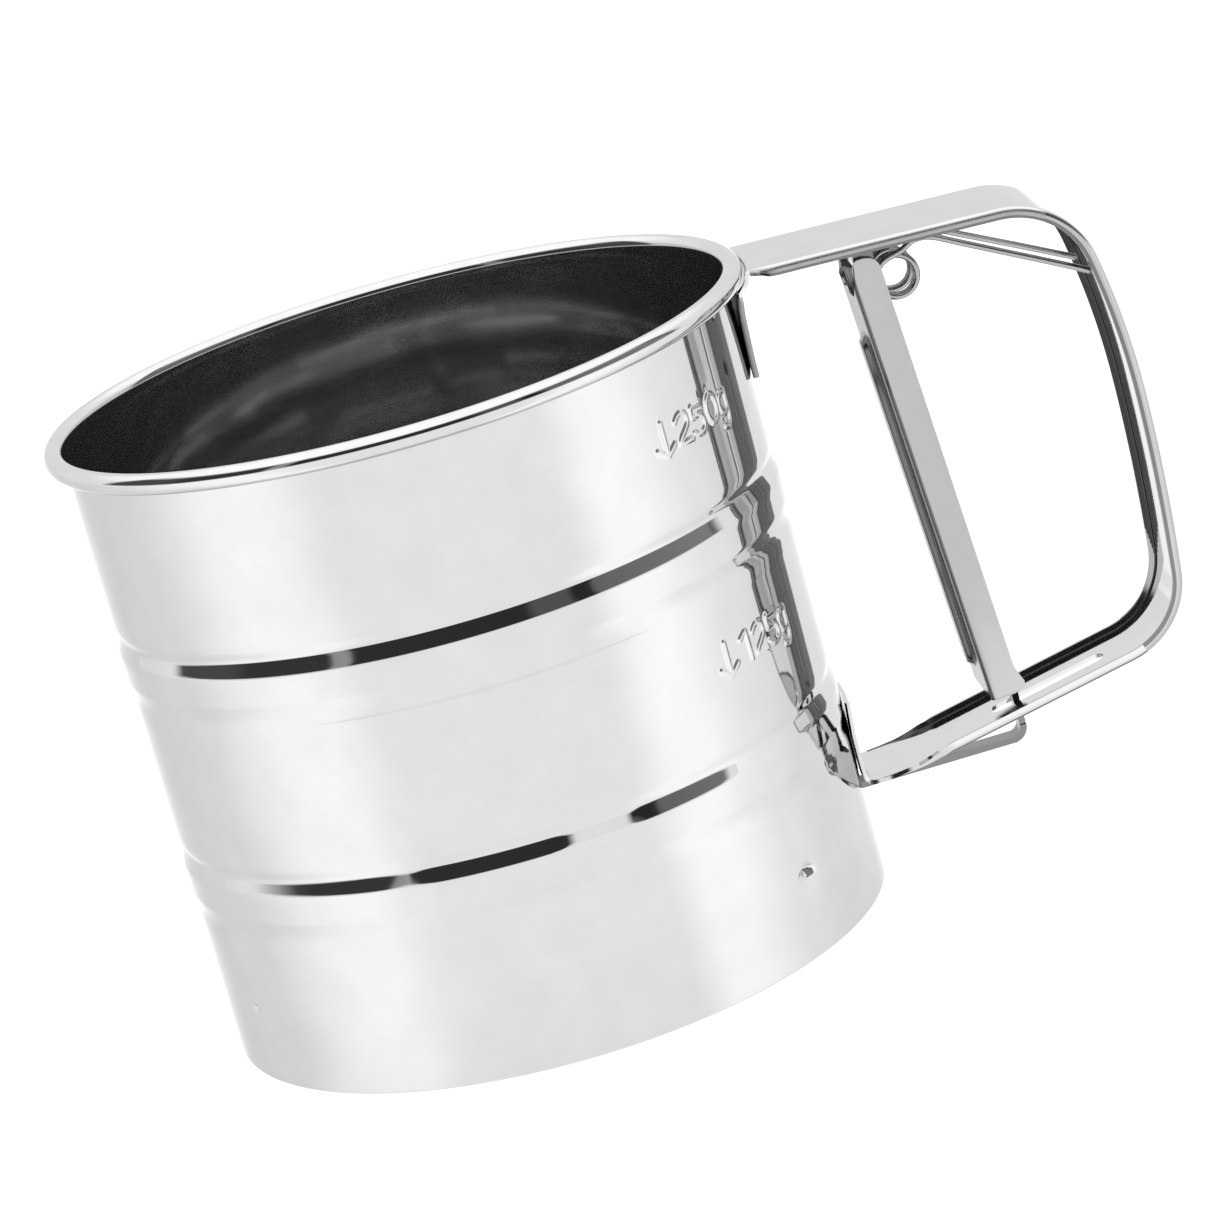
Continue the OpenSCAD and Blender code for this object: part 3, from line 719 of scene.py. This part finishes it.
def woven():
    """Plain weave of round wire over the ring's opening."""
    parts = []
    count = int(MESH_R / PITCH)
    for k in range(-count, count + 1):
        off = (k + 0.5) * PITCH
        if abs(off) > MESH_R - 1:
            continue
        reach = math.sqrt(MESH_R ** 2 - off ** 2)
        u = np.linspace(-reach, reach, max(6, int(2 * reach / (PITCH / 4))))
        lift = MESH_WIRE_R * 1.02 * np.sin(np.pi * (u / PITCH + 0.5) + np.pi * (k % 2))
        level = np.full(len(u), off)
        parts.append(tube(np.stack([u, level, MESH_Z + lift], 1), MESH_WIRE_R, 5, False))
        parts.append(tube(np.stack([level, u, MESH_Z - lift], 1), MESH_WIRE_R, 5, False))
    o = mesh_object("sieve_mesh", *join(parts), mesh_steel)
    return place(o, "cup_and_handle", "sieve_mesh")


woven()


# ---------------------------------------------------------------- materials on the CAD pieces

CAD_LOOKS = {
    "cup_body": wall_steel, "sieve_frame": inside_shade_steel, "sieve_mesh": mesh_steel,
    "mesh_clamp_ring": satin_steel, "support_bar": satin_steel, "centre_stud": strap_steel,
    "stud_spacer": satin_steel, "stud_cap": strap_steel, "handle_strap": strap_steel,
    "hinge_bracket": bracket_shade_steel, "hinge_pin": strap_steel, "trigger_channel": trigger_shade_steel,
    "return_spring": wire_steel, "link_pin": strap_steel, "link_spacers": satin_steel,
    "link_bar": link_shade_steel, "agitator_hub": strap_steel, "lower_blade": satin_steel,
    "upper_blade": satin_steel, "crank_pin": strap_steel, "crank_pin_cap": strap_steel,
}
for name, material in CAD_LOOKS.items():
    data = frame["nodes"][name].data
    data.materials.clear()
    data.materials.append(material)


# ---------------------------------------------------------------- floor, light, camera

CAMERA_AZIMUTH = 3.0             # how far the camera's side is turned from the handle's, in degrees
CAMERA_HEIGHT, CAMERA_ROLL = 15.22, 15.69
CAMERA_TARGET, CAMERA_AWAY = (20.88, -1.09, 48.82), 816.9
FOCAL = 4.5143                   # focal length in widths of the picture
FLOOR = 4000                     # half the floor's width

# Soft light and dark panels of the white sweep: azimuth on the wall that mirrors them, and brightness
SWEEP = [(-179, 1.32), (-163, 1.01), (-150, 1.01), (-127, 1.38), (-122, 1.38), (-108, 1.15), (-73, 1.15),
         (-64, 1.42), (-60, 1.42), (-45, 1.15), (-36, 1.06), (-18, 1.20), (-8, 1.39)]

# The unlit part of the room, as azimuth and brightness: two grey panels, a narrow lit gap, black elsewhere
ROOM = [(-180, 0.09), (-172, 0.05), (-141, 0.05), (-139, 0.40), (-134, 0.40), (-132, 0.04), (-72, 0.035),
        (-68, 0.12), (-56, 0.12), (-54, 0.03), (-48, 0.03), (-46, 0.18), (4, 0.30), (6, 0.05),
        (143, 0.09)]
# The lit part, as height and brightness, and how far the unlit part covers it, as height and share
LIT = [(0.0, 1.10), (0.26, 1.14), (0.45, 1.15), (0.62, 1.45), (1.0, 1.5)]
UNLIT_SHARE = [(0.0, 0.0), (0.06, 0.0), (0.13, 2.0), (0.60, 2.0), (0.74, 0.0), (1.0, 0.0)]
WORLD_STRENGTH = 2.0


def floor():
    """A white sweep that glows evenly, with soft panels that run the way the wall mirrors them."""
    m, nt, b = new_material("pale_floor")
    glow = add(nt, "ShaderNodeAttribute", attribute_name="glow")
    coord = add(nt, "ShaderNodeTexCoord").outputs["Object"]
    soft = map_range(nt, noise(nt, coord, 9.0, 2.0), (0, 1), (0.995, 1.005))
    b.inputs["Base Color"].default_value = (0.02, 0.02, 0.02, 1)
    b.inputs["Roughness"].default_value = 1.0
    b.inputs["Specular IOR Level"].default_value = 0.0
    nt.links.new(glow.outputs["Color"], b.inputs["Emission Color"])
    nt.links.new(soft, b.inputs["Emission Strength"])

    azimuth = np.arange(-183, -2.9, 2.0)
    reach = np.array([0, 10, 25, 45, 80, 160, 320, 700, 1600, FLOOR])
    A, S = np.meshgrid(np.radians(azimuth), reach, indexing="ij")
    away = 2 * A + math.radians(90 + CAMERA_AZIMUTH)
    x, y = CUP_R * np.cos(A) + S * np.cos(away), CUP_R * np.sin(A) + S * np.sin(away)
    verts = np.stack([x, y, np.full_like(A, -0.05)], -1).reshape(-1, 3)
    # the glow dims by up to a twentieth within 45 mm of the cup: a painted contact shadow
    light = eased(np.degrees(A), SWEEP) * between(S, [(0, 0.95), (45, 1.0)])
    fan = mesh_object("floor_fan", verts, grid_faces(len(azimuth), len(reach)), m, smooth=False)
    corners = [(-FLOOR, -FLOOR, -0.6), (FLOOR, -FLOOR, -0.6), (FLOOR, FLOOR, -0.6), (-FLOOR, FLOOR, -0.6)]
    plane = mesh_object("floor", corners, [(0, 1, 2, 3)], m, smooth=False)
    for o, values in ((fan, np.maximum(light, 1.0).ravel()), (plane, np.full(4, 1.2))):
        colour = o.data.color_attributes.new("glow", "FLOAT_COLOR", "POINT")
        colour.data.foreach_set("color", np.stack([values, values, values, np.ones_like(values)], 1).ravel())


def world():
    """A white studio lit from overhead and behind, with an unlit band in front and at the sides."""
    w = bpy.data.worlds.new("studio")
    bpy.context.scene.world = w
    w.use_nodes = True
    nt = w.node_tree
    link = nt.links.new
    background = nt.nodes["Background"]
    around = add(nt, "ShaderNodeTexCoord").outputs["Generated"]
    backwards = math.radians(81.5)
    toward = add(nt, "ShaderNodeVectorMath", operation="DOT_PRODUCT")
    toward.inputs[1].default_value = (math.cos(backwards), math.sin(backwards), 0)
    link(around, toward.inputs[0])
    behind = map_range(nt, toward.outputs["Value"], (0.22, 0.34), (0, 1), interpolation_type="SMOOTHSTEP")
    xyz = add(nt, "ShaderNodeSeparateXYZ")
    link(around, xyz.inputs["Vector"])
    radial = add(nt, "ShaderNodeTexGradient", gradient_type="RADIAL")
    link(around, radial.inputs["Vector"])

    def grey_ramp(source, stops):
        return ramp(nt, source, [(p, [v / WORLD_STRENGTH] * 3) for p, v in stops])

    def mix(factor, first, second):
        n = add(nt, "ShaderNodeMix", data_type="RGBA")
        link(factor, n.inputs["Factor"])
        link(first, n.inputs[6])
        link(second, n.inputs[7])
        return n.outputs[2]

    room = grey_ramp(radial.outputs["Fac"], [((azimuth + 180) / 360, v) for azimuth, v in ROOM])
    lit = grey_ramp(xyz.outputs["Z"], LIT)
    front = mix(grey_ramp(xyz.outputs["Z"], UNLIT_SHARE), lit, room)
    link(mix(behind, front, lit), background.inputs["Color"])
    background.inputs["Strength"].default_value = WORLD_STRENGTH


def camera():
    """At the photographed angle: 15 degrees above the horizon and rolled, so the cup leans to the left."""
    a, e, roll = (math.radians(angle) for angle in (CAMERA_AZIMUTH, CAMERA_HEIGHT, CAMERA_ROLL))
    level = Vector((math.cos(a), -math.sin(a), 0))
    forward = Vector((math.sin(a) * math.cos(e), math.cos(a) * math.cos(e), -math.sin(e)))
    upright = level.cross(forward)
    right = math.cos(roll) * level - math.sin(roll) * upright
    up = math.cos(roll) * upright + math.sin(roll) * level
    at = (Vector(CAMERA_TARGET) - forward * CAMERA_AWAY) * MM
    cam = bpy.data.objects.new("camera", bpy.data.cameras.new("camera"))
    bpy.context.scene.collection.objects.link(cam)
    cam.matrix_world = Matrix.Translation(at) @ Matrix((right, up, -forward)).transposed().to_4x4()
    cam.data.sensor_width = 36.0
    cam.data.lens = cam.data.sensor_width * FOCAL
    cam.data.clip_start, cam.data.clip_end = 0.05, 30.0
    bpy.context.scene.camera = cam


floor()
world()
camera()
view = bpy.context.scene.view_settings
view.view_transform = "Standard"
view.look = "None"
